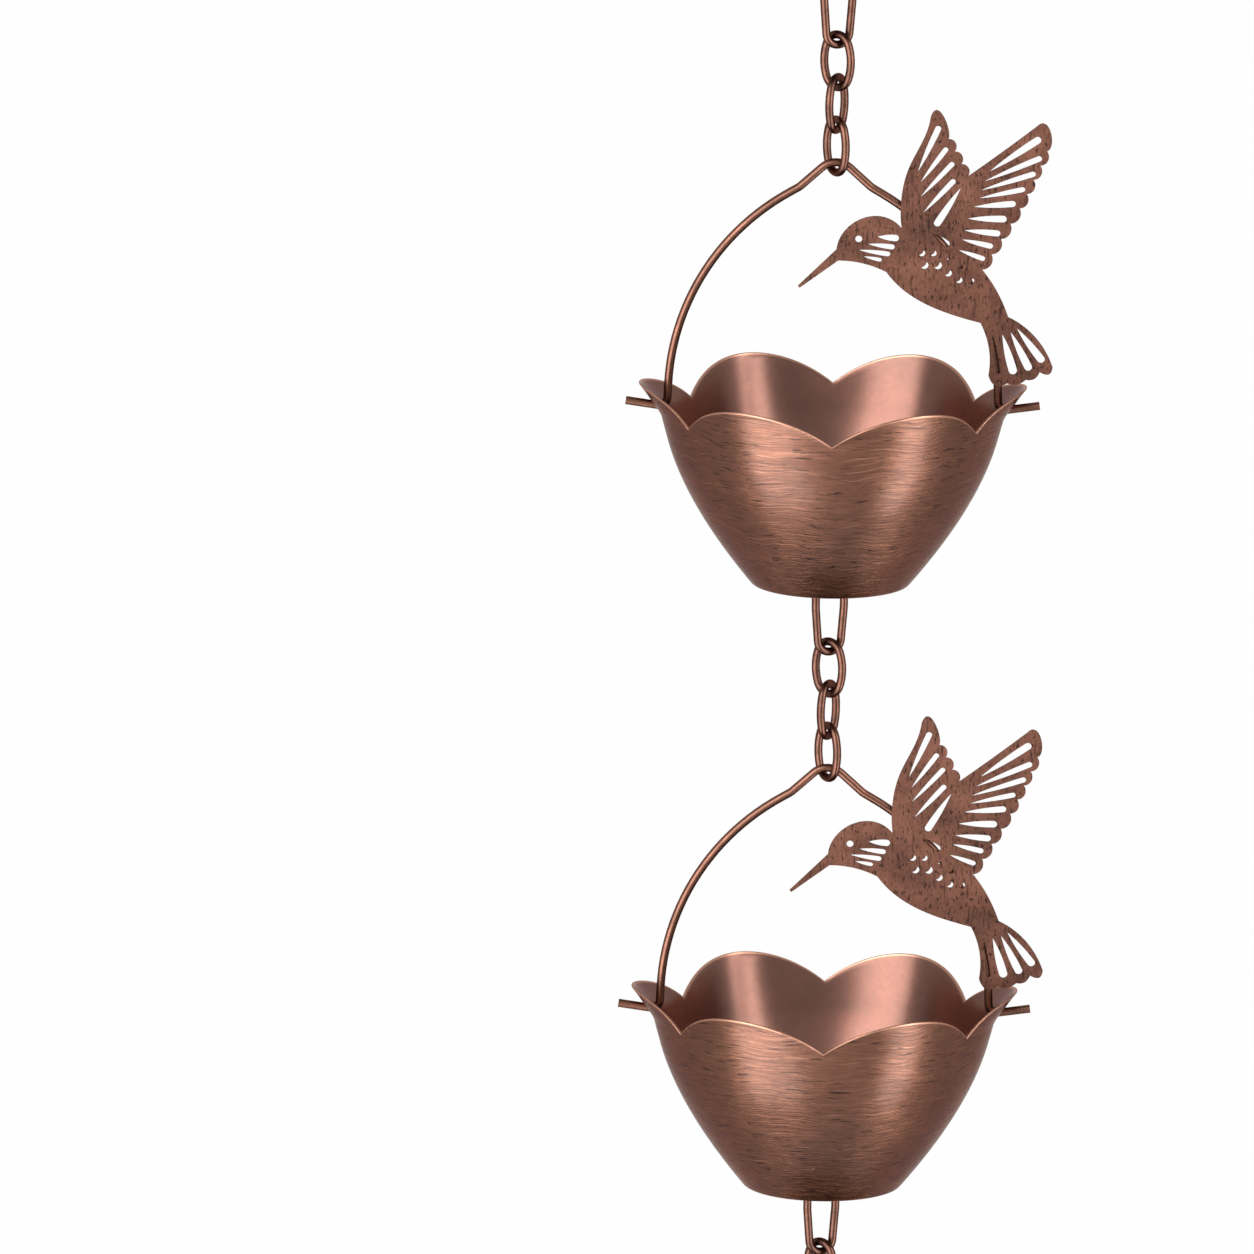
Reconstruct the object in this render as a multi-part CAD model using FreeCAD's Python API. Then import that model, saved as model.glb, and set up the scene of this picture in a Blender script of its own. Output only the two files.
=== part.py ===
import FreeCAD, Part
import math
import os

# A rain chain hung from a gutter hook: cups with petal rims, each on a wire bail with a flat pierced bird.
# Lengths in millimetres, angles in degrees. Z is up, and the origin is midway between the hook's two
# sleeves, at the height where their inner ends rest on the gutter.

# The whole chain
unit_count = 11
turned_units = (1, 2, 9)  # counted from the top, hung the other way round
wire = 3.0
hang_gap = 0.7  # air between two wires that hang in one another
seat_gap = 0.3  # air between pieces that rest on each other
weld_gap = 0.1

# Oval links
link_length = 22.3
link_width = 15.5
link_side_bow = 0.8
unit_link_yaws = (-40.0, 64.0, -57.0)
hook_link_yaws = (90.0, 0.0) + unit_link_yaws[1:]  # the first ring passes through the clasp's eye

# Loop under each cup
loop_yaw = 25.0
loop_leg_spacing = 11.2
loop_drop = 25.3
loop_shoulder_drop = 9.0
loop_shoulder_radius = 12.0
loop_bottom_radius = 4.6
loop_foot_length = 9.0
foot_bend_radius = 3.0

# Cup, measured from the plane of the notches in its rim
cup_depth = 62.5
base_radius = 28.3
belly_radius = 47.4
belly_share = 0.576  # of the cup's depth
shoulder_radius = 56.9
shoulder_share = 0.253
rim_radius = 60.5
tip_radius = 63.6
petal_count = 6
petal_rise = 11.0
petal_arc_radius = 46.0
petal_swell = 1.1
ear_flare = 5.6
ear_half_angle = 32.0
section_step = 10
sheet = 0.9
base_corner_radius = 2.5
drain_clearance = 0.8
pivot_height = 2.4
pivot_clearance = 0.6

# Bail
leg_setback = 3.4
bail_kink_x = 13.0
bail_kink_height = 83.4
bail_flank_angle = 42.0
bail_crown_radius = 7.5
bail_kink_radius = 9.0
bail_shoulder_inset = 2.4
bail_shoulder_height = 57.6
bail_shoulder_radius = 86.0
bail_bend_radius = 3.0
stub_length = 11.5
stub_rise = 8.0

# Bird
bird_sheet = 0.9
bird_grip_x = 57.5  # where the bail's shoulder corner falls on the bird
bird_grip_height = 57.6
bird_eye_radius = 1.25
slot_swell = 0.3  # how far a slot's sides stand out, as a share of its half width
moon_share = 0.62  # a crescent's depth as a share of its width
wing_feathers = 8
feather_bulge = 1.9

# Gutter hook
rod = 5.0
arm_corner_x = 31.0
arm_corner_rise = 54.6
arm_root_x = 4.2
arm_root_depth = 26.0
arm_root_bend_depth = 2.5
arm_root_radius = 15.0
arm_corner_radius = 4.5
sleeve_length = 26.0
sleeve_diameter = 15.0
sleeve_tilt = 15.7
sleeve_chamfer = 0.8
sleeve_inset = 1.0
socket_gap = 0.15
clasp_height = 46.0
clasp_top_width = 21.6
clasp_top_thickness = 10.0
clasp_widest = 23.2
clasp_widest_depth = 12.0
clasp_foot_width = 10.6
clasp_foot_thickness = 7.0
clasp_slot_margin = 1.7
clasp_notch_width = 12.5
clasp_notch_depth = 9.5
tongue_thickness = 4.4
tongue_height = 14.0
clasp_eye_diameter = 5.2

# Worked out from the sizes above
crossing = wire + hang_gap
belly_depth = belly_share * cup_depth
shoulder_depth = shoulder_share * cup_depth
link_reach = link_length - wire
link_half_width = (link_width - wire) / 2
link_end_radius = link_half_width - link_side_bow
ear_slope = (tip_radius + ear_flare - rim_radius - petal_swell) / petal_rise
ear_x = rim_radius + petal_swell + ear_slope * pivot_height
leg_x = ear_x - leg_setback


def at(x, z, y=0.0):
    return FreeCAD.Vector(x, y, z)


def turned(shape, angle):
    return shape.rotated(at(0, 0), at(0, 1), angle)


# Bent wire


def rounded_path(corners, radii):
    """Straight runs between the corners, with a tangent arc at each inner corner."""
    edges = []
    here = corners[0]
    for before, corner, after, radius in zip(corners, corners[1:], corners[2:], radii):
        back = (before - corner).normalize()
        ahead = (after - corner).normalize()
        half = back.getAngle(ahead) / 2
        enter = corner + back * (radius / math.tan(half))
        leave = corner + ahead * (radius / math.tan(half))
        middle = corner + (back + ahead).normalize() * (radius / math.sin(half) - radius)
        edges.append(Part.LineSegment(here, enter).toShape())
        edges.append(Part.Arc(enter, middle, leave).toShape())
        here = leave
    edges.append(Part.LineSegment(here, corners[-1]).toShape())
    return Part.Wire(edges)


def mirrored(right_corners, right_radii):
    """Carries a route on from its last corner, which is on the middle plane, down the other side."""
    left_corners = [at(-corner.x, corner.z) for corner in reversed(right_corners[:-1])]
    left_radii = list(reversed(right_radii[:-1]))
    return rounded_path(right_corners + left_corners, right_radii + left_radii)


def round_bar(path, diameter):
    """A round bar along a path, starting square to its first edge."""
    first = path.Edges[0]
    start = first.valueAt(first.FirstParameter)
    along = first.tangentAt(first.FirstParameter)
    disc = Part.Face(Part.Wire(Part.makeCircle(diameter / 2, start, along)))
    return path.makePipe(disc)


def oval_link(yaw, top):
    """A closed oval of four tangent arcs. The top of its centre line is at the given height."""
    half_length = link_reach / 2
    rise = half_length - link_end_radius
    side_radius = (rise**2 + link_half_width**2 - link_end_radius**2) / (2 * link_side_bow)
    lean = math.atan2(rise, side_radius - link_half_width)
    join_x = link_end_radius * math.cos(lean)
    join_z = rise + link_end_radius * math.sin(lean)
    joins = [at(join_x, join_z), at(-join_x, join_z), at(-join_x, -join_z), at(join_x, -join_z)]
    middles = [at(0, half_length), at(-link_half_width, 0), at(0, -half_length), at(link_half_width, 0)]
    arcs = []
    for number, middle in enumerate(middles):
        arcs.append(Part.Arc(joins[number], middle, joins[(number + 1) % 4]).toShape())
    ring = turned(round_bar(Part.Wire(arcs), wire), yaw)
    ring.translate(at(0, top - half_length))
    return ring


def links(yaws, top):
    """One stretch of chain, as separate rings that hang in one another."""
    rings = []
    for number, yaw in enumerate(yaws):
        rings.append(oval_link(yaw, top - number * (link_reach - crossing)))
    return Part.makeCompound(rings)


def links_bottom(yaws, top):
    """Height of the lowest point of the last ring's centre line."""
    return top - len(yaws) * link_reach + (len(yaws) - 1) * crossing


def loop_bottom():
    return -cup_depth - loop_drop


def loop():
    """A wire loop that narrows downwards, with two feet on the cup's floor beside the drain."""
    leg = loop_leg_spacing / 2
    shoulder = -cup_depth - loop_shoulder_drop
    foot = -cup_depth + sheet + seat_gap + wire / 2
    # The legs meet at a point below the rounded bottom.
    ratio = loop_bottom_radius / leg
    spare = loop_bottom_radius - (shoulder - loop_bottom())
    square = 1 - ratio**2
    reach = (-spare + math.sqrt(spare**2 - square * (spare**2 - loop_bottom_radius**2))) / square
    corners = [at(leg + loop_foot_length, foot), at(leg, foot), at(leg, shoulder), at(0, shoulder - reach)]
    radii = [foot_bend_radius, loop_shoulder_radius, loop_bottom_radius]
    return turned(round_bar(mirrored(corners, radii), wire), loop_yaw)


def bail_corners():
    """The bail's right half, from the stub outside the ear up to the crown."""
    slope = math.tan(math.radians(stub_rise))
    stub = at(ear_x + stub_length, pivot_height + stub_length * slope)
    leg = at(leg_x, pivot_height - leg_setback * slope)
    shoulder = at(leg_x - bail_shoulder_inset, bail_shoulder_height)
    kink = at(bail_kink_x, bail_kink_height)
    crown = at(0, bail_kink_height + bail_kink_x * math.tan(math.radians(bail_flank_angle)))
    return [stub, leg, shoulder, kink, crown]


def bail_top():
    """Height of the crown of the bail's centre line over the plane of the notches."""
    past_crown = bail_crown_radius * (1 / math.cos(math.radians(bail_flank_angle)) - 1)
    return bail_corners()[-1].z - past_crown


def bail():
    radii = [bail_bend_radius, bail_shoulder_radius, bail_kink_radius, bail_crown_radius]
    return round_bar(mirrored(bail_corners(), radii), wire)


# Cup


def wall_radius(angle, radius, level, inset):
    """Distance from the axis: round at the base, six soft lobes at the rim, and two ears turned out."""
    share = (level + cup_depth) / cup_depth
    lobe = petal_swell * min(share, 1.0) ** 2 * math.cos(math.radians(petal_count * angle))
    from_ear = abs((angle + 90) % 180 - 90)
    flare = 0.0
    if level > 0 and from_ear < ear_half_angle:
        flare = ear_flare * level / petal_rise * math.cos(math.pi / 2 * from_ear / ear_half_angle) ** 2
    return radius + lobe + flare - inset


def cup_section(radius, level, inset, lift=0.0):
    """A closed smooth curve round the cup at one height."""
    points = []
    for angle in range(0, 360, section_step):
        out = at(wall_radius(angle, radius, level, inset), level + lift)
        points.append(FreeCAD.Rotation(at(0, 1), angle).multVec(out))
    curve = Part.BSplineCurve()
    curve.interpolate(Points=points, PeriodicFlag=True)
    return Part.Wire(curve.toShape())


def cup_skin(inset, floor, corner):
    """The faces of the wall and base, carried on past the petals' tips and open there, and the top edge."""
    levels = (-cup_depth, -belly_depth, -shoulder_depth, 0.0)
    radii = (base_radius, belly_radius, shoulder_radius, rim_radius)
    sections = [cup_section(radii[0], levels[0], inset, floor)]
    for radius, level in zip(radii[1:], levels[1:]):
        sections.append(cup_section(radius, level, inset))
    bowl = Part.makeLoft(sections, True)
    lowest = [edge for edge in bowl.Edges if edge.BoundBox.ZMax < levels[0] + floor + sheet / 2]
    bowl = bowl.makeFillet(corner, lowest)
    top_level = 2 * petal_rise
    top = cup_section(2 * tip_radius - rim_radius, top_level, inset)
    petals = Part.makeLoft([sections[-1], top], False, True)
    wall = [face for face in bowl.Faces if face.BoundBox.ZMin < -sheet]
    return wall + petals.Faces, top


def petal_bars():
    """Three arc-topped bars across the cup. What lies under any of them is left as petals."""
    half = petal_arc_radius * math.sin(math.pi / 3)
    low = petal_rise - petal_arc_radius / 2
    under = -2 * cup_depth
    reach = 2 * tip_radius
    bars = []
    for number in range(petal_count // 2):
        right = at(-reach, low, -half)
        left = at(-reach, low, half)
        arc = Part.Arc(right, at(-reach, petal_rise), left).toShape()
        sides = Part.makePolygon([left, at(-reach, under, half), at(-reach, under, -half), right])
        outline = Part.Wire([arc] + sides.Edges)
        bars.append(turned(Part.Face(outline).extrude(at(2 * reach, 0)), number * 360 / petal_count))
    return bars[0].multiFuse(bars[1:])


def cup():
    outside, outside_top = cup_skin(0.0, 0.0, base_corner_radius)
    inside, inside_top = cup_skin(sheet, sheet, base_corner_radius - sheet)
    lip = Part.makeFace([outside_top, inside_top], "Part::FaceMakerBullseye")
    skin = Part.makeCompound(outside + inside + lip.Faces)
    skin.sewShape()
    wall = Part.Solid(skin.Shells[0])
    wall.fixTolerance(1e-3)
    drain_radius = (loop_leg_spacing + wire) / 2 + drain_clearance
    drain = Part.makeCylinder(drain_radius, 4 * sheet, at(0, -cup_depth - 2 * sheet))
    reach = 2 * tip_radius
    pivots = Part.makeCylinder(wire / 2 + pivot_clearance, 2 * reach, at(-reach, pivot_height), at(1, 0))
    return wall.common(petal_bars()).cut(drain.fuse(pivots)).Solids[0]


# Bird


def smooth(*corners):
    """A smooth curve through the points, or a straight line between two."""
    points = [at(x, z) for x, z in corners]
    if len(points) == 2:
        return [Part.LineSegment(*points).toShape()]
    curve = Part.BSplineCurve()
    curve.interpolate(points)
    return [curve.toShape()]


def feathers(first, last, count, bulge):
    """A scalloped edge: equal arcs that swell to the left of the way from first to last."""
    start, end = at(*first), at(*last)
    step = (end - start) / count
    out = at(-step.z, step.x).normalize() * bulge
    edges = []
    for number in range(count):
        here = start + step * number
        edges.append(Part.Arc(here, here + step / 2 + out, here + step).toShape())
    return edges


def bird_outline():
    head = smooth((-13.1, 47.4), (0.6, 60.9)) + smooth((0.6, 60.9), (4.3, 68.7), (12.3, 73.1), (24.0, 69.0))
    front_wing = smooth((24.0, 69.0), (23.6, 78.0), (26.2, 90.8), (32.4, 104.0), (33.9, 110.0))
    front_wing += smooth((33.9, 110.0), (36.0, 112.5), (39.4, 108.6), (40.2, 101.9))
    front_wing += feathers((40.2, 101.9), (47.4, 88.2), 3, feather_bulge)
    back_wing = smooth((47.4, 88.2), (59.0, 96.8), (72.2, 107.0))
    back_wing += smooth((72.2, 107.0), (74.8, 108.1), (77.2, 105.0), (75.9, 98.0))
    back_wing += feathers((75.9, 98.0), (66.4, 77.0), wing_feathers // 2, feather_bulge)
    back_wing += feathers((66.4, 77.0), (53.2, 54.3), wing_feathers // 2, feather_bulge)
    back = smooth((53.2, 54.3), (57.6, 48.2), (62.9, 36.9))
    tail = smooth((62.9, 36.9), (69.5, 32.8), (76.0, 25.4), (79.2, 18.7))
    tail += smooth((79.2, 18.7), (78.2, 16.3), (74.6, 16.9))
    tail += smooth((74.6, 16.9), (72.4, 14.2), (69.6, 14.0))
    tail += smooth((69.6, 14.0), (66.4, 12.2), (62.9, 12.6))
    tail += smooth((62.9, 12.6), (59.0, 11.6), (56.1, 15.4))
    tail += smooth((56.1, 15.4), (56.0, 26.0), (52.9, 34.7))
    belly = smooth((52.9, 34.7), (40.4, 38.3), (28.0, 44.2), (18.7, 52.9))
    throat = smooth((18.7, 52.9), (10.5, 55.9), (1.3, 56.9)) + smooth((1.3, 56.9), (-12.5, 46.7))
    beak_tip = smooth((-12.5, 46.7), (-13.1, 47.4))
    edges = head + front_wing + back_wing + back + tail + belly + throat + beak_tip
    return Part.Wire(edges)


def leaf_slot(round_end, point, width):
    """A leaf-shaped slot: a round end, swelling sides and a point."""
    end, tip = at(*round_end), at(*point)
    radius = width / 2
    along = (tip - end).normalize()
    across = at(-along.z, along.x) * radius
    centre = end + along * radius
    left, right = centre + across, centre - across
    left_side = Part.Arc(tip, (tip + left) / 2 + across * slot_swell, left).toShape()
    right_side = Part.Arc(right, (tip + right) / 2 - across * slot_swell, tip).toShape()
    return Part.Wire([left_side, Part.Arc(left, end, right).toShape(), right_side])


def crescent(x, z, width):
    """A small moon-shaped hole with its back to the lower right."""
    middle = at(x, z)
    horn = at(1, 1).normalize() * (width / 2)
    back = at(1, -1).normalize() * (width * moon_share)
    outer = Part.Arc(middle - horn, middle + back, middle + horn).toShape()
    inner = Part.Arc(middle + horn, middle + back / 4, middle - horn).toShape()
    return Part.Wire([outer, inner])


def bird_cuts():
    cuts = [Part.Wire(Part.makeCircle(bird_eye_radius, at(8.6, 64.9), at(0, 0, 1)))]
    cheek = (((23.1, 65.3), (15.2, 65.8), 2.5), ((21.6, 62.0), (11.7, 63.1), 2.0))
    cheek += (((20.0, 59.4), (8.3, 60.9), 1.9), ((17.0, 57.2), (10.2, 58.5), 1.5))
    front_wing = (((37.1, 106.7), (29.5, 89.7), 2.2), ((40.0, 98.8), (30.4, 85.7), 1.9))
    front_wing += (((42.4, 93.4), (30.4, 80.3), 1.9), ((42.9, 87.1), (31.5, 74.6), 2.0))
    between = (((36.2, 70.0), (45.2, 84.3), 2.6), ((41.2, 62.9), (35.0, 67.4), 2.4))
    back_wing = (((73.6, 102.7), (55.1, 90.1), 2.7), ((74.1, 95.6), (53.0, 86.4), 2.2))
    back_wing += (((72.0, 89.8), (51.6, 83.1), 2.1), ((68.3, 84.0), (51.2, 80.3), 2.0))
    back_wing += (((65.0, 78.6), (49.4, 77.2), 2.4), ((61.8, 72.9), (47.4, 72.9), 2.6))
    back_wing += (((59.6, 67.5), (46.2, 68.6), 2.4), ((57.0, 62.7), (45.4, 65.3), 2.1))
    back_wing += (((54.2, 58.0), (44.4, 61.4), 1.9),)
    tail = (((59.8, 16.2), (57.6, 30.2), 1.6), ((65.3, 15.9), (60.9, 30.6), 3.0))
    tail += (((71.0, 17.4), (63.8, 31.6), 2.8), ((75.8, 20.5), (66.0, 33.0), 2.8))
    for round_end, point, width in cheek + front_wing + between + back_wing + tail:
        cuts.append(leaf_slot(round_end, point, width))
    scales = ((31.2, 60.2, 2.4), (35.4, 60.2, 2.3), (41.0, 58.6, 1.5), (45.2, 55.6, 2.1), (32.2, 55.8, 2.8))
    scales += ((37.0, 55.8, 2.9), (40.8, 53.0, 2.6), (44.8, 50.5, 2.4), (49.1, 50.3, 2.3))
    for x, z, width in scales:
        cuts.append(crescent(x, z, width))
    return cuts


def bird():
    """A flat pierced sheet in front of the bail, held where it crosses the bail's right shoulder."""
    face = Part.makeFace([bird_outline()] + bird_cuts(), "Part::FaceMakerBullseye")
    plate = face.extrude(at(0, 0, -bird_sheet))
    shoulder = bail_corners()[2]
    plate.translate(shoulder - at(bird_grip_x, bird_grip_height, wire / 2 + weld_gap))
    return plate


# Gutter hook

corner_height = sleeve_diameter / 2
clasp_top = corner_height - arm_corner_rise
clasp_bottom = clasp_top - clasp_height
sleeve_way = at(math.cos(math.radians(sleeve_tilt)), -math.sin(math.radians(sleeve_tilt)))
arm_lean = math.atan2(arm_corner_rise + arm_root_bend_depth, arm_corner_x - arm_root_x)
corner_turn = arm_lean + math.radians(sleeve_tilt)
sleeve_start = arm_corner_radius * math.tan(corner_turn / 2) + sleeve_inset
arm_corner = at(arm_corner_x, corner_height)
# The first ring swings about the middle of the bridge under the clasp's eye.
bridge_reach = link_end_radius - wire / 2 - seat_gap
bridge_half = math.sqrt(bridge_reach**2 - (tongue_thickness / 2) ** 2)
eye_axis_height = clasp_bottom + bridge_half


def hook_arm():
    """The right arm, from its root in the clasp up to the bend and out through its sleeve."""
    root = at(arm_root_x, clasp_top - arm_root_depth)
    bend = at(arm_root_x, clasp_top - arm_root_bend_depth)
    end = arm_corner + sleeve_way * (sleeve_start + sleeve_length)
    return round_bar(rounded_path([root, bend, arm_corner, end], [arm_root_radius, arm_corner_radius]), rod)


def hook_sleeve():
    """The right sleeve, a thick tube with eased ends."""
    start = arm_corner + sleeve_way * sleeve_start
    tube = Part.makeCylinder(sleeve_diameter / 2, sleeve_length, start, sleeve_way)
    rims = [edge for edge in tube.Edges if edge.Closed]
    tube = tube.makeChamfer(sleeve_chamfer, rims)
    return tube.cut(Part.makeCylinder(rod / 2 + socket_gap, sleeve_length, start, sleeve_way))


def clasp_section(width, thickness, depth):
    """An ellipse across the clasp, the given depth below its top."""
    ellipse = Part.Ellipse(at(width / 2, 0), at(0, 0, thickness / 2), at(0, 0)).toShape()
    ellipse.translate(at(0, clasp_top - depth))
    return Part.Wire(ellipse)


def flat_slot(half_length, half_width, z):
    """A flat outline with round ends, lying across the clasp."""
    straight = half_length - half_width
    corners = [at(straight, z, -half_width), at(straight, z, half_width)]
    corners += [at(-straight, z, half_width), at(-straight, z, -half_width)]
    right = Part.Arc(corners[0], at(half_length, z), corners[1]).toShape()
    left = Part.Arc(corners[2], at(-half_length, z), corners[3]).toShape()
    back = Part.LineSegment(corners[1], corners[2]).toShape()
    front = Part.LineSegment(corners[3], corners[0]).toShape()
    return Part.Face(Part.Wire([right, back, left, front]))


def hook_clasp():
    """A flattened socket for the two arms, notched at the top, that ends in a thin tongue with an eye."""
    sections = [clasp_section(clasp_top_width, clasp_top_thickness, 0)]
    sections.append(clasp_section(clasp_widest, clasp_top_thickness, clasp_widest_depth))
    sections.append(clasp_section(clasp_foot_width, clasp_foot_thickness, clasp_height))
    body = Part.makeLoft(sections, True)
    slot_reach = clasp_top_width / 2 - clasp_slot_margin
    slot = flat_slot(slot_reach, rod / 2 + socket_gap, clasp_top - arm_root_depth)
    slot = slot.extrude(at(0, 2 * arm_root_depth))
    depth = 2 * clasp_top_thickness
    notch_radius = clasp_notch_width / 2
    notch_low = clasp_top - clasp_notch_depth + notch_radius
    notch = Part.makeCylinder(notch_radius, depth, at(0, notch_low, -depth / 2), at(0, 0, 1))
    mouth = Part.makeBox(clasp_notch_width, depth, clasp_height, at(-notch_radius, notch_low, -depth / 2))
    body = body.cut(slot.fuse(notch.fuse(mouth)))
    width = 2 * clasp_widest
    cheek_low = clasp_bottom + tongue_height - clasp_height
    cheek = Part.makeBox(width, depth, clasp_height, at(-width / 2, cheek_low))
    front = cheek.translated(at(0, 0, -depth - tongue_thickness / 2))
    back = cheek.translated(at(0, 0, tongue_thickness / 2))
    eye_middle = eye_axis_height + bridge_half + clasp_eye_diameter / 2
    eye = Part.makeCylinder(clasp_eye_diameter / 2, depth, at(0, eye_middle, -depth / 2), at(0, 0, 1))
    return body.cut(front).cut(back).cut(eye).Solids[0]


# Hanging the pieces together

arm = hook_arm()
sleeve = hook_sleeve()
pieces = {"hook_arm_right": arm, "hook_sleeve_right": sleeve, "hook_clasp": hook_clasp()}
pieces["hook_arm_left"] = turned(arm, 180)
pieces["hook_sleeve_left"] = turned(sleeve, 180)

unit_shapes = {"bail": bail(), "bird": bird(), "cup": cup(), "loop": loop()}
links_tops = []
unit_heights = []
yaws = hook_link_yaws
top = eye_axis_height + link_end_radius
for number in range(1, unit_count + 1):
    pieces[f"links_{number:02d}"] = links(yaws, top)
    height = links_bottom(yaws, top) + crossing - bail_top()
    half_turn = 180 if number in turned_units else 0
    for name, shape in unit_shapes.items():
        pieces[f"{name}_{number:02d}"] = turned(shape, half_turn).translated(at(0, height))
    links_tops.append(top)
    unit_heights.append(height)
    yaws = unit_link_yaws
    top = height + loop_bottom() + crossing

os.makedirs("parts", exist_ok=True)
for name, shape in pieces.items():
    shape.exportStep(f"parts/{name}.step")
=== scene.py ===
import math

import bmesh
import bpy
import numpy as np
from mathutils import Euler, Matrix, Vector


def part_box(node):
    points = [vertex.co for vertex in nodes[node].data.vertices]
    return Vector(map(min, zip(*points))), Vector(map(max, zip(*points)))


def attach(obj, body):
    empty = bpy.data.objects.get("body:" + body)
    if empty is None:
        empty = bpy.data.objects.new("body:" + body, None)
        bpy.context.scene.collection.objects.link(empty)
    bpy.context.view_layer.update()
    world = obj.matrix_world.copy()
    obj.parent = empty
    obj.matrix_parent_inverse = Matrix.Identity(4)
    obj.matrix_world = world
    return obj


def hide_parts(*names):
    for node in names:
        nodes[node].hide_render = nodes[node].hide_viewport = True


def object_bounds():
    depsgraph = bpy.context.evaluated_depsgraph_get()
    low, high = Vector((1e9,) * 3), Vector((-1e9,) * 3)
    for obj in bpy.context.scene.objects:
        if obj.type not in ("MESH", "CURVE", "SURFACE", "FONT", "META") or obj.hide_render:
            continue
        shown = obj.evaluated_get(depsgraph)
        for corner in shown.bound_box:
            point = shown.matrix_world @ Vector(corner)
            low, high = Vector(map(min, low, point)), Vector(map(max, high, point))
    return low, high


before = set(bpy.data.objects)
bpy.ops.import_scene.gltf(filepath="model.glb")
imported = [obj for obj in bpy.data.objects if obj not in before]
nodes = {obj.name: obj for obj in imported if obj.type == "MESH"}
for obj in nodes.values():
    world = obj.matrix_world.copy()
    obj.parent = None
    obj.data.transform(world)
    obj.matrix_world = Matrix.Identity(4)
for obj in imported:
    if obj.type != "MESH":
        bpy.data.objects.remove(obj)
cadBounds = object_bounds()
scene = bpy.context.scene
scene.view_settings.view_transform = "Standard"
mm = 0.001
white = (1.0, 1.0, 1.0, 1.0)
unitTags = sorted(name[-2:] for name in nodes if name.startswith("cup_"))
print("frame loaded with", len(nodes), "nodes and", len(unitTags), "hanging units")


# Small helpers for node trees

def plug(tree, value, socket):
    if isinstance(value, bpy.types.NodeSocket):
        tree.links.new(value, socket)
    elif value is not None:
        socket.default_value = value


def addNode(tree, kind, values=(), **settings):
    node = tree.nodes.new(kind)
    for key, value in settings.items():
        setattr(node, key, value)
    for key, value in dict(values).items():
        plug(tree, value, node.inputs[key])
    return node


def calc(tree, operation, *values):
    node = tree.nodes.new("ShaderNodeMath")
    node.operation = operation
    for socket, value in zip(node.inputs, values):
        plug(tree, value, socket)
    return node.outputs[0]


def times(tree, first, second):
    return calc(tree, "MULTIPLY", first, second)


def separate(tree, vector):
    return addNode(tree, "ShaderNodeSeparateXYZ", {0: vector}).outputs


def combine(tree, x, y, z):
    return addNode(tree, "ShaderNodeCombineXYZ", {0: x, 1: y, 2: z}).outputs[0]


def stretch(tree, vector, factors):
    node = addNode(tree, "ShaderNodeVectorMath", {0: vector, 1: factors}, operation="MULTIPLY")
    return node.outputs[0]


def noise(tree, vector, scale, detail, roughness=0.5):
    values = {"Vector": vector, "Scale": scale, "Detail": detail, "Roughness": roughness}
    return addNode(tree, "ShaderNodeTexNoise", values).outputs[0]


def mixColor(tree, factor, first, second):  # the node's colour pair is 6 and 7
    node = addNode(tree, "ShaderNodeMix", {0: factor, 6: first, 7: second}, data_type="RGBA")
    return node.outputs[2]


def mixValue(tree, factor, first, second):  # the node's number pair is 2 and 3
    node = addNode(tree, "ShaderNodeMix", {0: factor, 2: first, 3: second}, data_type="FLOAT")
    return node.outputs[0]


def ramp(tree, value, limits):  # from the limits to 0 and 1
    low, high = limits
    values = {"Value": value, "From Min": low, "From Max": high}
    return addNode(tree, "ShaderNodeMapRange", values).outputs[0]


def spread(tree, value, limits):  # from 0 and 1 to the limits
    start, end = limits
    values = {"Value": value, "To Min": start, "To Max": end}
    return addNode(tree, "ShaderNodeMapRange", values).outputs[0]


def newTree(name, kind, inputs, outputs):
    tree = bpy.data.node_groups.new(name, kind)
    for label, socketType, value in inputs:
        socket = tree.interface.new_socket(label, in_out="INPUT", socket_type=socketType)
        if value is not None:
            socket.default_value = value
    for label, socketType in outputs:
        tree.interface.new_socket(label, in_out="OUTPUT", socket_type=socketType)
    given = tree.nodes.new("NodeGroupInput").outputs
    result = tree.nodes.new("NodeGroupOutput").inputs
    return tree, given, result


def useGroup(tree, group, **values):
    node = addNode(tree, "ShaderNodeGroup", node_tree=group)
    for key, value in values.items():
        plug(tree, value, node.inputs[key.replace("_", " ")])
    return node.outputs


def rgb(red, green, blue):  # screen colour to linear
    return tuple(((c / 255 + 0.055) / 1.055) ** 2.4 for c in (red, green, blue)) + (1.0,)


# Effects that several finishes share. Patterns are in millimetres of the Object coordinates.

patinaLook = {
    "cloudDetail": 4.0, "cloudRoughness": 0.6, "cloudLimits": (0.3, 0.7), "cloudShare": 0.65,
    "grainDetail": 3.0, "grainRoughness": 0.7, "grainLimits": (0.25, 0.75),
}


def makePatina():
    look = patinaLook
    tree, given, result = newTree("patina", "ShaderNodeTree", (
        ("Vector", "NodeSocketVector", None),
        ("Cloud Size", "NodeSocketFloat", 18.0),
        ("Grain Size", "NodeSocketFloat", 1.2),
        ("Dark", "NodeSocketColor", None),
        ("Light", "NodeSocketColor", None),
    ), (("Color", "NodeSocketColor"), ("Mask", "NodeSocketFloat")))
    cloudScale = calc(tree, "DIVIDE", 1.0, given["Cloud Size"])
    grainScale = calc(tree, "DIVIDE", 1.0, given["Grain Size"])
    clouds = noise(tree, given["Vector"], cloudScale, look["cloudDetail"], look["cloudRoughness"])
    grain = noise(tree, given["Vector"], grainScale, look["grainDetail"], look["grainRoughness"])
    soft = times(tree, ramp(tree, clouds, look["cloudLimits"]), look["cloudShare"])
    fine = times(tree, ramp(tree, grain, look["grainLimits"]), 1.0 - look["cloudShare"])
    mask = calc(tree, "ADD", soft, fine)
    plug(tree, mixColor(tree, mask, given["Dark"], given["Light"]), result["Color"])
    plug(tree, mask, result["Mask"])
    return tree


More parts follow.
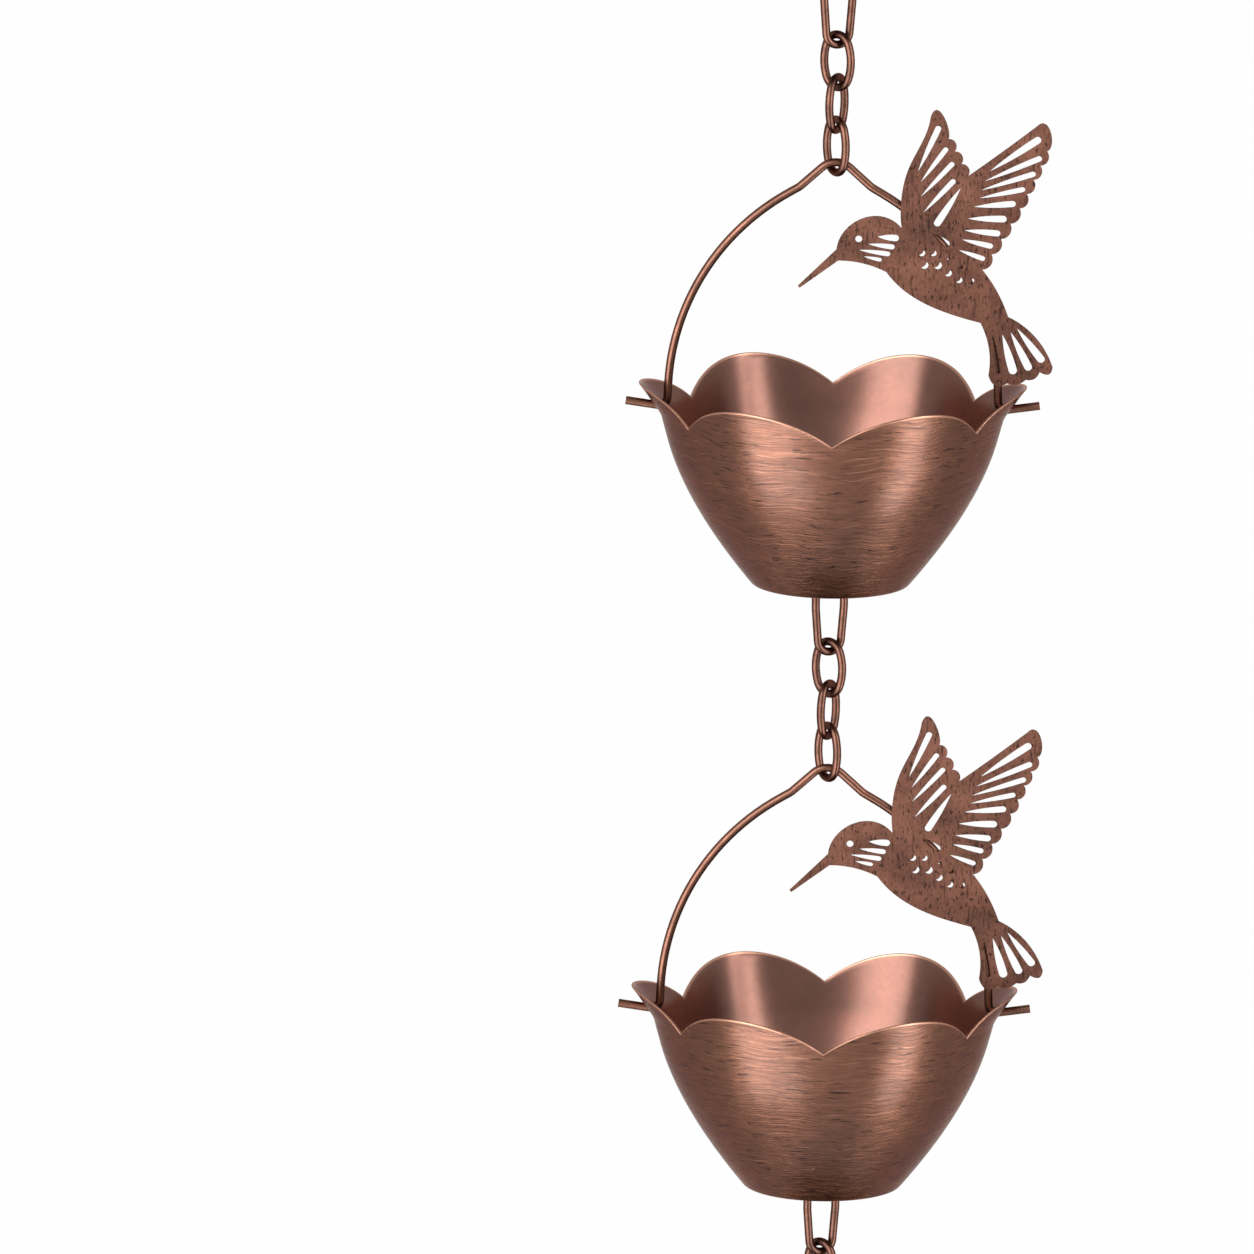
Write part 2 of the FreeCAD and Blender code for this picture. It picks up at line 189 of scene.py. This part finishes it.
streakLook = {
    "bendScale": 0.055, "bendDetail": 2.0,
    "lineScale": 1.0, "lineDetail": 3.0, "lineRoughness": 0.62, "lineLimits": (0.3, 0.7),
    "brightScale": 0.8, "brightDetail": 1.0, "brightLimits": (0.64, 0.78),
    "darkShortening": 2.4, "darkScale": 0.9, "darkDetail": 2.0, "darkLimits": (0.4, 0.3),
}


def makeStreaks():
    # Fine wavy lines along the first two axes of the vector, close together along the third
    look = streakLook
    tree, given, result = newTree("brushedStreaks", "ShaderNodeTree", (
        ("Vector", "NodeSocketVector", None),
        ("Length", "NodeSocketFloat", 14.0),
        ("Spacing", "NodeSocketFloat", 0.9),
        ("Wave", "NodeSocketFloat", 6.0),
    ), (
        ("Mask", "NodeSocketFloat"),
        ("Bright Lines", "NodeSocketFloat"),
        ("Dark Lines", "NodeSocketFloat"),
    ))
    bend = noise(tree, given["Vector"], look["bendScale"], look["bendDetail"])
    sway = times(tree, calc(tree, "SUBTRACT", bend, 0.5), given["Wave"])
    parts = separate(tree, given["Vector"])
    place = combine(
        tree,
        calc(tree, "DIVIDE", parts[0], given["Length"]),
        calc(tree, "DIVIDE", parts[1], given["Length"]),
        calc(tree, "DIVIDE", calc(tree, "ADD", parts[2], sway), given["Spacing"]),
    )
    lines = noise(tree, place, look["lineScale"], look["lineDetail"], look["lineRoughness"])
    plug(tree, ramp(tree, lines, look["lineLimits"]), result["Mask"])
    scratches = noise(tree, place, look["brightScale"], look["brightDetail"])
    plug(tree, ramp(tree, scratches, look["brightLimits"]), result["Bright Lines"])
    short = stretch(tree, place, (look["darkShortening"], look["darkShortening"], 1.0))
    hairs = noise(tree, short, look["darkScale"], look["darkDetail"])
    plug(tree, ramp(tree, hairs, look["darkLimits"]), result["Dark Lines"])
    return tree


patina = makePatina()
brushedStreaks = makeStreaks()


# Finishes

paintedOutlineShadeTint = rgb(190, 158, 144)  # painted shade: the copper is tinted dark at its outline, standing in for dark surroundings mirrored at grazing angles


def startMaterial(name, coat, coatRoughness):
    material = bpy.data.materials.new(name)
    material.use_nodes = True
    tree = material.node_tree
    tree.nodes.clear()
    # The specular tint is painted shade that darkens each finish at its outline
    shader = addNode(tree, "ShaderNodeBsdfPrincipled", {
        "Metallic": 1.0, "Specular Tint": paintedOutlineShadeTint,
        "Coat Weight": coat, "Coat Roughness": coatRoughness,
    })
    out = addNode(tree, "ShaderNodeOutputMaterial")
    tree.links.new(shader.outputs[0], out.inputs["Surface"])
    place = addNode(tree, "ShaderNodeTexCoord").outputs["Object"]
    return material, tree, shader, stretch(tree, place, (1 / mm, 1 / mm, 1 / mm))


def addBump(tree, shader, height, relief):
    values = {"Height": height, "Distance": relief * mm, "Strength": 1.0}
    bump = addNode(tree, "ShaderNodeBump", values)
    tree.links.new(bump.outputs[0], shader.inputs["Normal"])


wireFinish = {  # roughness of the dark patches, then of the light ones
    "coat": 0.15, "coatRoughness": 0.25, "grainSize": 0.8, "bumpScale": 1.6, "bumpDetail": 3.0,
    "kinds": {
        # The bail and the chain are the same copper wire in lit and shaded copies: the bail's
        # lighter colours are painted light
        "bailWithPaintedLight": {
            "dark": rgb(66, 43, 34), "light": rgb(110, 74, 60),
            "roughness": (0.4, 0.26), "cloudSize": 9.0, "relief": 0.02,
        },
        # the chain's darker colours are partly darker patina and partly painted shade, and the
        # hook takes this copy too
        "chainPatinaAndPaintedShade": {
            "dark": rgb(46, 29, 23), "light": rgb(96, 63, 50),
            "roughness": (0.4, 0.24), "cloudSize": 7.0, "relief": 0.03,
        },
        "dullSleeve": {
            "dark": rgb(52, 35, 29), "light": rgb(84, 58, 48),
            "roughness": (0.6, 0.45), "cloudSize": 12.0, "relief": 0.06,
        },
    },
}


def makeWireFinish(name):
    finish = wireFinish
    kind = finish["kinds"][name]
    material, tree, shader, place = startMaterial(name, finish["coat"], finish["coatRoughness"])
    tone = useGroup(
        tree, patina, Vector=place, Cloud_Size=kind["cloudSize"], Grain_Size=finish["grainSize"],
        Dark=kind["dark"], Light=kind["light"],
    )
    plug(tree, tone["Color"], shader.inputs["Base Color"])
    plug(tree, spread(tree, tone["Mask"], kind["roughness"]), shader.inputs["Roughness"])
    grain = noise(tree, place, finish["bumpScale"], finish["bumpDetail"])
    addBump(tree, shader, grain, kind["relief"])
    return material


cupFinish = {  # roughness between the streaks and on them, coat outside and inside
    "dark": rgb(78, 49, 38), "light": rgb(136, 92, 72), "inside": rgb(104, 64, 51),
    # the lighter colour next serves the bright scratches, and along the lip it is partly wear and
    # partly a painted highlight
    "wornAndHighlight": rgb(186, 136, 112), "hairline": rgb(34, 20, 15),
    "cloudSize": 26.0, "grainSize": 2.0,
    "ringRadius": 45.0, "streakLength": 13.0, "streakSpacing": 0.55,
    "streakShare": 0.75, "brightShare": 0.22, "darkShare": 0.85, "lipWearAndHighlightShare": 0.6,
    "roughness": (0.4, 0.27), "insideRoughness": 0.27,
    "coat": (0.3, 0.6), "coatRoughness": 0.25, "relief": 0.08,
}


def makeCupFinish():
    finish = cupFinish
    material, tree, shader, place = startMaterial(
        "brushedCopperCup", finish["coat"][0], finish["coatRoughness"])

    # The streaks run round the cup, so their place is taken on a ring about its axis
    parts = separate(tree, place)
    flat = combine(tree, parts[0], parts[1], 0.0)
    way = addNode(tree, "ShaderNodeVectorMath", {0: flat}, operation="NORMALIZE").outputs[0]
    ring = addNode(
        tree, "ShaderNodeVectorMath", {0: way, "Scale": finish["ringRadius"]}, operation="SCALE")
    ringParts = separate(tree, ring.outputs[0])
    wrapped = combine(tree, ringParts[0], ringParts[1], parts[2])
    streaks = useGroup(
        tree, brushedStreaks, Vector=wrapped,
        Length=finish["streakLength"], Spacing=finish["streakSpacing"],
    )
    tone = useGroup(
        tree, patina, Vector=place, Cloud_Size=finish["cloudSize"], Grain_Size=finish["grainSize"],
        Dark=finish["dark"], Light=finish["light"],
    )

    # Brushed outside, satin inside, bright along the lip, which is partly real wear and partly a
    # painted highlight
    brushed = mixColor(
        tree, times(tree, streaks["Mask"], finish["streakShare"]), finish["dark"], tone["Color"])
    bright = times(tree, streaks["Bright Lines"], finish["brightShare"])
    brushed = mixColor(tree, bright, brushed, finish["wornAndHighlight"])
    dark = times(tree, streaks["Dark Lines"], finish["darkShare"])
    brushed = mixColor(tree, dark, brushed, finish["hairline"])
    inside = addNode(tree, "ShaderNodeAttribute", attribute_name="inside").outputs["Fac"]
    satin = mixColor(tree, tone["Mask"], finish["dark"], finish["inside"])
    body = mixColor(tree, inside, brushed, satin)
    # Along the lip the colour is partly real wear and partly a painted highlight
    lip = addNode(tree, "ShaderNodeAttribute", attribute_name="lip").outputs["Fac"]
    color = mixColor(tree, times(tree, lip, finish["lipWearAndHighlightShare"]), body, finish["wornAndHighlight"])
    plug(tree, color, shader.inputs["Base Color"])

    outsideRough = spread(tree, streaks["Mask"], finish["roughness"])
    rough = mixValue(tree, inside, outsideRough, finish["insideRoughness"])
    plug(tree, rough, shader.inputs["Roughness"])
    plug(tree, spread(tree, inside, finish["coat"]), shader.inputs["Coat Weight"])
    grooves = times(tree, streaks["Mask"], calc(tree, "SUBTRACT", 1.0, inside))
    addBump(tree, shader, grooves, finish["relief"])
    return material


birdFinish = {  # fleck size across and up, roughness of the dark patches, then the light ones
    "dark": rgb(48, 30, 24), "light": rgb(106, 70, 57), "fleck": rgb(26, 16, 13),
    "cloudSize": 16.0, "grainSize": 1.1,
    "fleckSize": (0.7, 2.0), "fleckScale": 0.8, "fleckDetail": 2.0, "fleckLimits": (0.57, 0.66),
    "fleckShare": 0.85, "grainLength": 22.0, "grainSpacing": 0.9, "grainShare": 0.6,
    "roughness": (0.58, 0.44), "coat": 0.1, "coatRoughness": 0.35, "relief": 0.05,
}


def makeBirdFinish():
    finish = birdFinish
    material, tree, shader, place = startMaterial(
        "mottledCopperBird", finish["coat"], finish["coatRoughness"])
    tone = useGroup(
        tree, patina, Vector=place, Cloud_Size=finish["cloudSize"], Grain_Size=finish["grainSize"],
        Dark=finish["dark"], Light=finish["light"],
    )

    # Short upright flecks
    width, height = finish["fleckSize"]
    squeezed = stretch(tree, place, (1 / width, 0.0, 1 / height))
    spots = noise(tree, squeezed, finish["fleckScale"], finish["fleckDetail"])
    flecks = times(tree, ramp(tree, spots, finish["fleckLimits"]), finish["fleckShare"])
    color = mixColor(tree, flecks, tone["Color"], finish["fleck"])

    # Upright grain, made by the streaks with their first and third axes changed over
    parts = separate(tree, place)
    upright = combine(tree, parts[2], parts[1], parts[0])
    grain = useGroup(
        tree, brushedStreaks, Vector=upright,
        Length=finish["grainLength"], Spacing=finish["grainSpacing"],
    )
    dark = times(tree, grain["Dark Lines"], finish["grainShare"])
    color = mixColor(tree, dark, color, finish["fleck"])
    plug(tree, color, shader.inputs["Base Color"])
    plug(tree, spread(tree, tone["Mask"], finish["roughness"]), shader.inputs["Roughness"])
    addBump(tree, shader, tone["Mask"], finish["relief"])
    return material


finishes = {name: makeWireFinish(name) for name in wireFinish["kinds"]}
cupCopper = makeCupFinish()
birdCopper = makeBirdFinish()
print("finishes made")


# Cups, made by a node tree from the section of their sheet

weldGap = 0.002 * mm  # points closer than this are one


def runTree(tree, mesh, values):
    holder = bpy.data.objects.new("treeHolder", mesh)
    scene.collection.objects.link(holder)
    modifier = holder.modifiers.new("shape", "NODES")
    modifier.node_group = tree
    for item in tree.interface.items_tree:
        if item.in_out == "INPUT" and item.name in values:
            modifier[item.identifier] = values[item.name]
    depsgraph = bpy.context.evaluated_depsgraph_get()
    made = bpy.data.meshes.new_from_object(
        holder.evaluated_get(depsgraph), preserve_all_data_layers=True, depsgraph=depsgraph)
    bpy.data.objects.remove(holder)
    return made


def closeShell(mesh, sharpAngle):
    shell = bmesh.new()
    shell.from_mesh(mesh)
    bmesh.ops.remove_doubles(shell, verts=shell.verts, dist=weldGap)
    bmesh.ops.recalc_face_normals(shell, faces=shell.faces)
    shell.to_mesh(mesh)
    shell.free()
    mesh.shade_smooth()
    mesh.set_sharp_from_angle(angle=math.radians(sharpAngle))


cupSizes = {  # in millimetres and degrees, levels are measured from the plane of the notches
    "depth": 62.5, "baseRadius": 28.3,
    "bellyRadius": 47.4, "bellyLevel": -36.0,
    "shoulderRadius": 56.9, "shoulderLevel": -15.8,
    "rimRadius": 60.5, "turnLevel": -9.0, "tipRadius": 63.6,
    "petals": 6, "petalRise": 11.0, "petalArc": 46.0, "swell": 1.1,
    "earFlare": 5.6, "earHalfAngle": 32.0,
    "sheet": 0.9, "baseCorner": 2.5, "drainRadius": 7.9,
    "pivotHeight": 2.4, "pivotRadius": 2.1, "drillLength": 300.0,
    # how finely the section and the turn are cut
    "segments": 216, "wallRows": 40, "floorRows": 4, "cornerSteps": 6, "lipSteps": 8,
    "drillSides": 48, "drainMargin": 0.15, "cornerMargin": 4.0, "lipMargin": 0.5, "sharpAngle": 40,
}


def cupWall():
    # A cubic through the four sections, and from the turn level up a petal that leans out evenly
    s = cupSizes
    levels = (-s["depth"], s["bellyLevel"], s["shoulderLevel"], 0.0)
    radii = (s["baseRadius"], s["bellyRadius"], s["shoulderRadius"], s["rimRadius"])
    cubic = np.polyfit(levels, radii, 3)
    turn = s["turnLevel"]
    lean = float(np.polyval(np.polyder(cubic), turn))
    reach = s["petalRise"] - turn
    turnOut = ((s["tipRadius"] - float(np.polyval(cubic, turn))) / reach - lean) / reach
    return cubic, lean, turnOut


def cupWallRadius(level):
    cubic, lean, turnOut = cupWall()
    turn = cupSizes["turnLevel"]
    above = max(level - turn, 0.0)
    return float(np.polyval(cubic, min(level, turn))) + above * (lean + turnOut * above)


def roundedCorner(before, corner, after, radius, steps):
    before, corner, after = Vector(before), Vector(corner), Vector(after)
    back, ahead = (before - corner).normalized(), (after - corner).normalized()
    half = back.angle(ahead) / 2
    centre = corner + (back + ahead).normalized() * (radius / math.sin(half))
    start = corner + back * (radius / math.tan(half)) - centre
    end = corner + ahead * (radius / math.tan(half)) - centre
    points = []
    for k in range(steps + 1):
        spoke = start.slerp(end, k / steps)
        points.append(tuple(centre + spoke * (radius / spoke.length)))
    return points


def cupSide(inset, bottom, corner, inside):
    # One face of the sheet, from the drain hole out along the floor and up to the lip
    s = cupSizes
    drain, margin = s["drainRadius"], s["cornerMargin"]
    foot = (cupWallRadius(bottom) - inset, bottom)
    nextUp = (cupWallRadius(bottom + margin) - inset, bottom + margin)
    line = [(drain + s["drainMargin"], bottom)]
    for k in range(1, s["floorRows"] + 1):
        line.append((drain + (foot[0] - margin - drain) * k / s["floorRows"], bottom))
    line += roundedCorner((0, bottom), foot, nextUp, corner, s["cornerSteps"])
    start = line[-1][1]
    stop = s["petalRise"] - s["sheet"] / 2 - s["lipMargin"]
    for k in range(1, s["wallRows"] + 1):
        level = start + (stop - start) * k / s["wallRows"]
        line.append((cupWallRadius(level) - inset, level))
    return [(radius, level, inside, 0.0) for radius, level in line]


def cupProfile():
    # One closed line round the sheet's section through a petal's middle.
    # Each point is its radius, its level, and how far it is inside and on the lip.
    s = cupSizes
    sheet, floor, top = s["sheet"], -s["depth"], s["petalRise"]
    outer = cupSide(0.0, floor, s["baseCorner"], 0.0)
    inner = cupSide(sheet, floor + sheet, s["baseCorner"] - sheet, 1.0)
    lip = []
    steps = s["lipSteps"]
    for k in range(steps + 1):
        turn = math.pi * k / steps
        radius = cupWallRadius(top) - sheet / 2 + sheet / 2 * math.cos(turn)
        lip.append((radius, top - sheet / 2 + sheet / 2 * math.sin(turn), k / steps, 1.0))
    return outer + lip + inner[::-1]


wallTerms = ("Rim Radius", "Slope", "Curve", "Twist", "Turn Level", "Lean", "Turn Out")


def makeWallTree():
    tree, given, result = newTree("cupWall", "GeometryNodeTree", (
        ("Level", "NodeSocketFloat", None),
        *((label, "NodeSocketFloat", None) for label in wallTerms),
    ), (("Radius", "NodeSocketFloat"),))
    below = calc(tree, "MINIMUM", given["Level"], given["Turn Level"])
    above = calc(tree, "MAXIMUM", calc(tree, "SUBTRACT", given["Level"], given["Turn Level"]), 0.0)
    bend = calc(tree, "MULTIPLY_ADD", below, given["Twist"], given["Curve"])
    bend = calc(tree, "MULTIPLY_ADD", below, bend, given["Slope"])
    lower = calc(tree, "MULTIPLY_ADD", below, bend, given["Rim Radius"])
    lean = calc(tree, "MULTIPLY_ADD", above, given["Turn Out"], given["Lean"])
    plug(tree, calc(tree, "MULTIPLY_ADD", above, lean, lower), result["Radius"])
    return tree


def makeCupTree(wallTree):
    sizes = ("Depth", "Petal Rise", "Petal Arc", "Press Level", "Swell", "Ear Flare",
             "Ear Half Angle", "Pivot Height", "Pivot Radius", "Drill Length") + wallTerms
    counts = ("Segments", "Petals", "Drill Sides")
    tree, given, result = newTree("petalCup", "GeometryNodeTree", (
        ("Profile", "NodeSocketGeometry", None),
        *((label, "NodeSocketInt", None) for label in counts),
        *((label, "NodeSocketFloat", None) for label in sizes),
        ("Finish", "NodeSocketMaterial", None),
    ), (("Geometry", "NodeSocketGeometry"),))

    def sampled(value, kind, row):
        node = addNode(
            tree, "GeometryNodeSampleIndex", {"Geometry": given["Profile"], "Index": row},
            data_type=kind,
        )
        plug(tree, value, node.inputs["Value"])
        return node.outputs[0]

    def wall(at):
        node = addNode(tree, "GeometryNodeGroup", {"Level": at}, node_tree=wallTree)
        for label in wallTerms:
            plug(tree, given[label], node.inputs[label])
        return node.outputs[0]

    def squared(value):
        return calc(tree, "POWER", value, 2.0)

    # A grid of rows round the section and columns round the axis
    domain = addNode(tree, "GeometryNodeAttributeDomainSize", {"Geometry": given["Profile"]})
    count = domain.outputs["Point Count"]
    rowsAndOne = calc(tree, "ADD", count, 1.0)
    grid = addNode(tree, "GeometryNodeMeshGrid", {"Vertices Y": rowsAndOne})
    plug(tree, calc(tree, "ADD", given["Segments"], 1.0), grid.inputs["Vertices X"])
    index = addNode(tree, "GeometryNodeInputIndex").outputs[0]
    row = calc(tree, "MODULO", calc(tree, "MODULO", index, rowsAndOne), count)
    column = calc(tree, "FLOOR", calc(tree, "DIVIDE", calc(tree, "ADD", index, 0.5), rowsAndOne))
    turn = calc(tree, "DIVIDE", times(tree, column, math.tau), given["Segments"])
    position = addNode(tree, "GeometryNodeInputPosition").outputs[0]
    place = separate(tree, sampled(position, "FLOAT_VECTOR", row))
    radius, level = place[0], place[2]

    # The rim is pressed down between the petals
    halfPetal = calc(tree, "DIVIDE", math.pi, given["Petals"])
    fromPetal = calc(tree, "WRAP", turn, halfPetal, times(tree, halfPetal, -1.0))
    chord = times(tree, given["Rim Radius"], calc(tree, "SINE", fromPetal))
    arc = given["Petal Arc"]
    rise = calc(tree, "SQRT", calc(tree, "SUBTRACT", squared(arc), squared(chord)))
    lipLevel = calc(tree, "ADD", calc(tree, "SUBTRACT", given["Petal Rise"], arc), rise)
    press = given["Press Level"]
    room = calc(tree, "SUBTRACT", given["Petal Rise"], press)
    squeeze = calc(tree, "DIVIDE", calc(tree, "SUBTRACT", lipLevel, press), room)
    overPress = calc(tree, "MAXIMUM", calc(tree, "SUBTRACT", level, press), 0.0)
    kept = calc(tree, "MINIMUM", level, press)
    pressed = calc(tree, "MULTIPLY_ADD", overPress, squeeze, kept)

    # The wall's own radius moves with the pressed level, then come the lobes and the two ears
    moved = calc(tree, "ADD", radius, calc(tree, "SUBTRACT", wall(pressed), wall(level)))
    share = calc(tree, "DIVIDE", calc(tree, "ADD", pressed, given["Depth"]), given["Depth"])
    share = squared(calc(tree, "MAXIMUM", calc(tree, "MINIMUM", share, 1.0), 0.0))
    ripple = calc(tree, "COSINE", times(tree, turn, given["Petals"]))
    lobe = times(tree, times(tree, share, ripple), given["Swell"])
    fromEar = calc(tree, "ABSOLUTE", calc(tree, "WRAP", turn, math.pi / 2, -math.pi / 2))
    earShare = calc(tree, "MINIMUM", calc(tree, "DIVIDE", fromEar, given["Ear Half Angle"]), 1.0)
    earCurve = squared(calc(tree, "COSINE", times(tree, earShare, math.pi / 2)))
    earLevel = calc(tree, "DIVIDE", calc(tree, "MAXIMUM", pressed, 0.0), given["Petal Rise"])
    flare = times(tree, times(tree, earLevel, earCurve), given["Ear Flare"])
    reach = calc(tree, "ADD", calc(tree, "ADD", moved, lobe), flare)
    spotX = times(tree, reach, calc(tree, "COSINE", turn))
    spotY = times(tree, reach, calc(tree, "SINE", turn))
    spot = combine(tree, spotX, spotY, pressed)

    shape = grid.outputs["Mesh"]
    for label in ("inside", "lip"):
        mark = addNode(
            tree, "GeometryNodeInputNamedAttribute", {"Name": label}, data_type="FLOAT")
        store = addNode(
            tree, "GeometryNodeStoreNamedAttribute", {"Geometry": shape, "Name": label},
            data_type="FLOAT", domain="POINT",
        )
        plug(tree, sampled(mark.outputs[0], "FLOAT", row), store.inputs["Value"])
        shape = store.outputs[0]
    moveTo = addNode(tree, "GeometryNodeSetPosition", {"Geometry": shape, "Position": spot})
    welded = addNode(
        tree, "GeometryNodeMergeByDistance", {"Geometry": moveTo.outputs[0], "Distance": weldGap})

    # Holes for the bail's two ends
    rod = addNode(tree, "GeometryNodeMeshCylinder", {
        "Vertices": given["Drill Sides"], "Radius": given["Pivot Radius"],
        "Depth": given["Drill Length"],
    })
    drill = addNode(tree, "GeometryNodeTransform", {
        "Geometry": rod.outputs[0], "Translation": combine(tree, 0.0, 0.0, given["Pivot Height"]),
        "Rotation": (0, math.pi / 2, 0),
    })
    pierced = addNode(tree, "GeometryNodeMeshBoolean", operation="DIFFERENCE", solver="EXACT")
    tree.links.new(welded.outputs[0], pierced.inputs["Mesh 1"])
    tree.links.new(drill.outputs[0], pierced.inputs["Mesh 2"])
    whole = addNode(tree, "GeometryNodeRealizeInstances", {"Geometry": pierced.outputs["Mesh"]})
    finished = addNode(tree, "GeometryNodeSetMaterial", {
        "Geometry": whole.outputs[0], "Material": given["Finish"],
    })
    plug(tree, finished.outputs[0], result["Geometry"])
    return tree


def makeCups():
    s = cupSizes
    cubic, lean, turnOut = cupWall()
    rows = cupProfile()
    profile = bpy.data.meshes.new("cupProfile")
    profile.from_pydata([(row[0] * mm, 0, row[1] * mm) for row in rows], [], [])
    for label, column in (("inside", 2), ("lip", 3)):
        marks = profile.attributes.new(label, "FLOAT", "POINT")
        marks.data.foreach_set("value", [row[column] for row in rows])
    shape = runTree(makeCupTree(makeWallTree()), profile, {
        "Segments": s["segments"], "Petals": s["petals"], "Drill Sides": s["drillSides"],
        "Depth": s["depth"] * mm, "Petal Rise": s["petalRise"] * mm,
        "Petal Arc": s["petalArc"] * mm, "Press Level": s["shoulderLevel"] * mm,
        "Swell": s["swell"] * mm, "Ear Flare": s["earFlare"] * mm,
        "Ear Half Angle": math.radians(s["earHalfAngle"]),
        "Pivot Height": s["pivotHeight"] * mm, "Pivot Radius": s["pivotRadius"] * mm,
        "Drill Length": s["drillLength"] * mm, "Rim Radius": s["rimRadius"] * mm,
        "Slope": float(cubic[2]), "Curve": float(cubic[1]) / mm, "Twist": float(cubic[0]) / mm**2,
        "Turn Level": s["turnLevel"] * mm, "Lean": lean, "Turn Out": float(turnOut) / mm,
        "Finish": cupCopper,
    })
    closeShell(shape, s["sharpAngle"])
    for tag in unitTags:
        mesh = shape.copy()
        mesh.transform(Matrix.Translation((0, 0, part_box("cup_" + tag)[0].z + s["depth"] * mm)))
        cup = bpy.data.objects.new("petalCup_" + tag, mesh)
        scene.collection.objects.link(cup)
        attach(cup, "bowl_" + tag)
        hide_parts("cup_" + tag)
    print("cups made,", len(shape.polygons), "faces each")


makeCups()


# The other pieces keep their CAD meshes and get a finish

def finishNode(name, material):
    mesh = nodes[name].data
    mesh.materials.clear()
    mesh.materials.append(material)


# The bail gets the copper with painted light, the links, loops and hook the copper with painted
# shade and darker patina
for tag in unitTags:
    finishNode("bird_" + tag, birdCopper)
    finishNode("bail_" + tag, finishes["bailWithPaintedLight"])
    finishNode("links_" + tag, finishes["chainPatinaAndPaintedShade"])
    finishNode("loop_" + tag, finishes["chainPatinaAndPaintedShade"])
for side in ("left", "right"):
    finishNode("hook_arm_" + side, finishes["chainPatinaAndPaintedShade"])
    finishNode("hook_sleeve_" + side, finishes["dullSleeve"])
finishNode("hook_clasp", finishes["chainPatinaAndPaintedShade"])
print("wires, birds and hook finished")


# Floor, light and camera

stage = {
    "floorColor": (0.2, 0.2, 0.2, 1.0), "floorGlow": 0.79, "floorRoughness": 0.9,
    "floorDrop": 0.5, "floorSize": 60.0, "world": 1.0,
}


def makeFloor():
    size = stage["floorSize"]
    height = cadBounds[0][2] - stage["floorDrop"]
    corners = [(x * size, y * size, height) for x, y in ((-1, -1), (1, -1), (1, 1), (-1, 1))]
    mesh = bpy.data.meshes.new("floor")
    mesh.from_pydata(corners, [], [(0, 1, 2, 3)])
    floor = bpy.data.objects.new("floor", mesh)
    scene.collection.objects.link(floor)
    material = bpy.data.materials.new("paleFloor")
    material.use_nodes = True
    tree = material.node_tree
    shader = tree.nodes["Principled BSDF"]
    shader.inputs["Base Color"].default_value = stage["floorColor"]
    shader.inputs["Roughness"].default_value = stage["floorRoughness"]
    shader.inputs["Specular IOR Level"].default_value = 0.0
    shader.inputs["Emission Color"].default_value = white
    # The camera and the metal see a pale floor. The lamps add only a little, so it does not clip.
    rays = addNode(tree, "ShaderNodeLightPath").outputs
    mirrored = calc(tree, "MAXIMUM", rays["Is Glossy Ray"], rays["Is Transmission Ray"])
    seen = calc(tree, "MAXIMUM", rays["Is Camera Ray"], mirrored)
    plug(tree, times(tree, seen, stage["floorGlow"]), shader.inputs["Emission Strength"])
    mesh.materials.append(material)


def makeWorld():
    world = bpy.data.worlds.new("paleRoom")
    world.use_nodes = True
    background = world.node_tree.nodes["Background"]
    background.inputs["Color"].default_value = white
    background.inputs["Strength"].default_value = stage["world"]
    scene.world = world


softboxes = {  # as tall as the chain, angle counted from straight in front of it
    "leftSoftbox": {"angle": -38.0, "distance": 1.1, "width": 1.05, "power": 58.0},
    "rightSoftbox": {"angle": 57.0, "distance": 1.1, "width": 0.6, "power": 34.0},
}


def makeLights():
    low, high = cadBounds[0][2], cadBounds[1][2]
    for name, box in softboxes.items():
        light = bpy.data.lights.new(name, "AREA")
        light.shape = "RECTANGLE"
        light.size, light.size_y = box["width"], high - low
        light.energy = box["power"]
        lamp = bpy.data.objects.new(name, light)
        turn = math.radians(box["angle"])
        across, ahead = box["distance"] * math.sin(turn), box["distance"] * math.cos(turn)
        lamp.location = (across, -ahead, (low + high) / 2)
        lamp.rotation_euler = (math.pi / 2, 0, turn)
        lamp.visible_camera = False
        scene.collection.objects.link(lamp)


cameraSet = {  # scale in millimetres a pixel at the chain, rimPixel is where the unit's rim comes
    "unit": "04", "elevation": 12.0, "distance": 8.0, "roll": 0.7,
    "frame": 1254, "scale": 0.362, "rimPixel": (829.5, 411.4), "sensor": 36.0, "clipEnd": 200.0,
}


def makeCamera():
    # It stands straight in front of the chain and turns a little, to bring it right of the middle
    c = cameraSet
    pixel = c["scale"] * mm
    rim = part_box("cup_" + cameraSet["unit"])[0].z + cupSizes["depth"] * mm
    tilt = math.radians(c["elevation"])
    centre = c["frame"] / 2
    across = (centre - c["rimPixel"][0]) * pixel
    down = (centre - c["rimPixel"][1]) * pixel / math.cos(tilt)
    aim = Vector((across, 0, rim - down))
    rise = math.sin(tilt) * c["distance"]
    place = Vector((0, -math.cos(tilt) * c["distance"], aim.z + rise))
    data = bpy.data.cameras.new("photoView")
    data.sensor_fit = "HORIZONTAL"
    data.sensor_width = c["sensor"]
    data.lens = c["sensor"] * c["distance"] / (c["frame"] * pixel)
    data.clip_end = c["clipEnd"]
    camera = bpy.data.objects.new("photoView", data)
    camera.location = place
    roll = Euler((0, 0, math.radians(c["roll"]))).to_quaternion()
    camera.rotation_euler = ((aim - place).to_track_quat("-Z", "Y") @ roll).to_euler()
    scene.collection.objects.link(camera)
    scene.camera = camera


makeFloor()
makeWorld()
makeLights()
makeCamera()
print("stage ready")
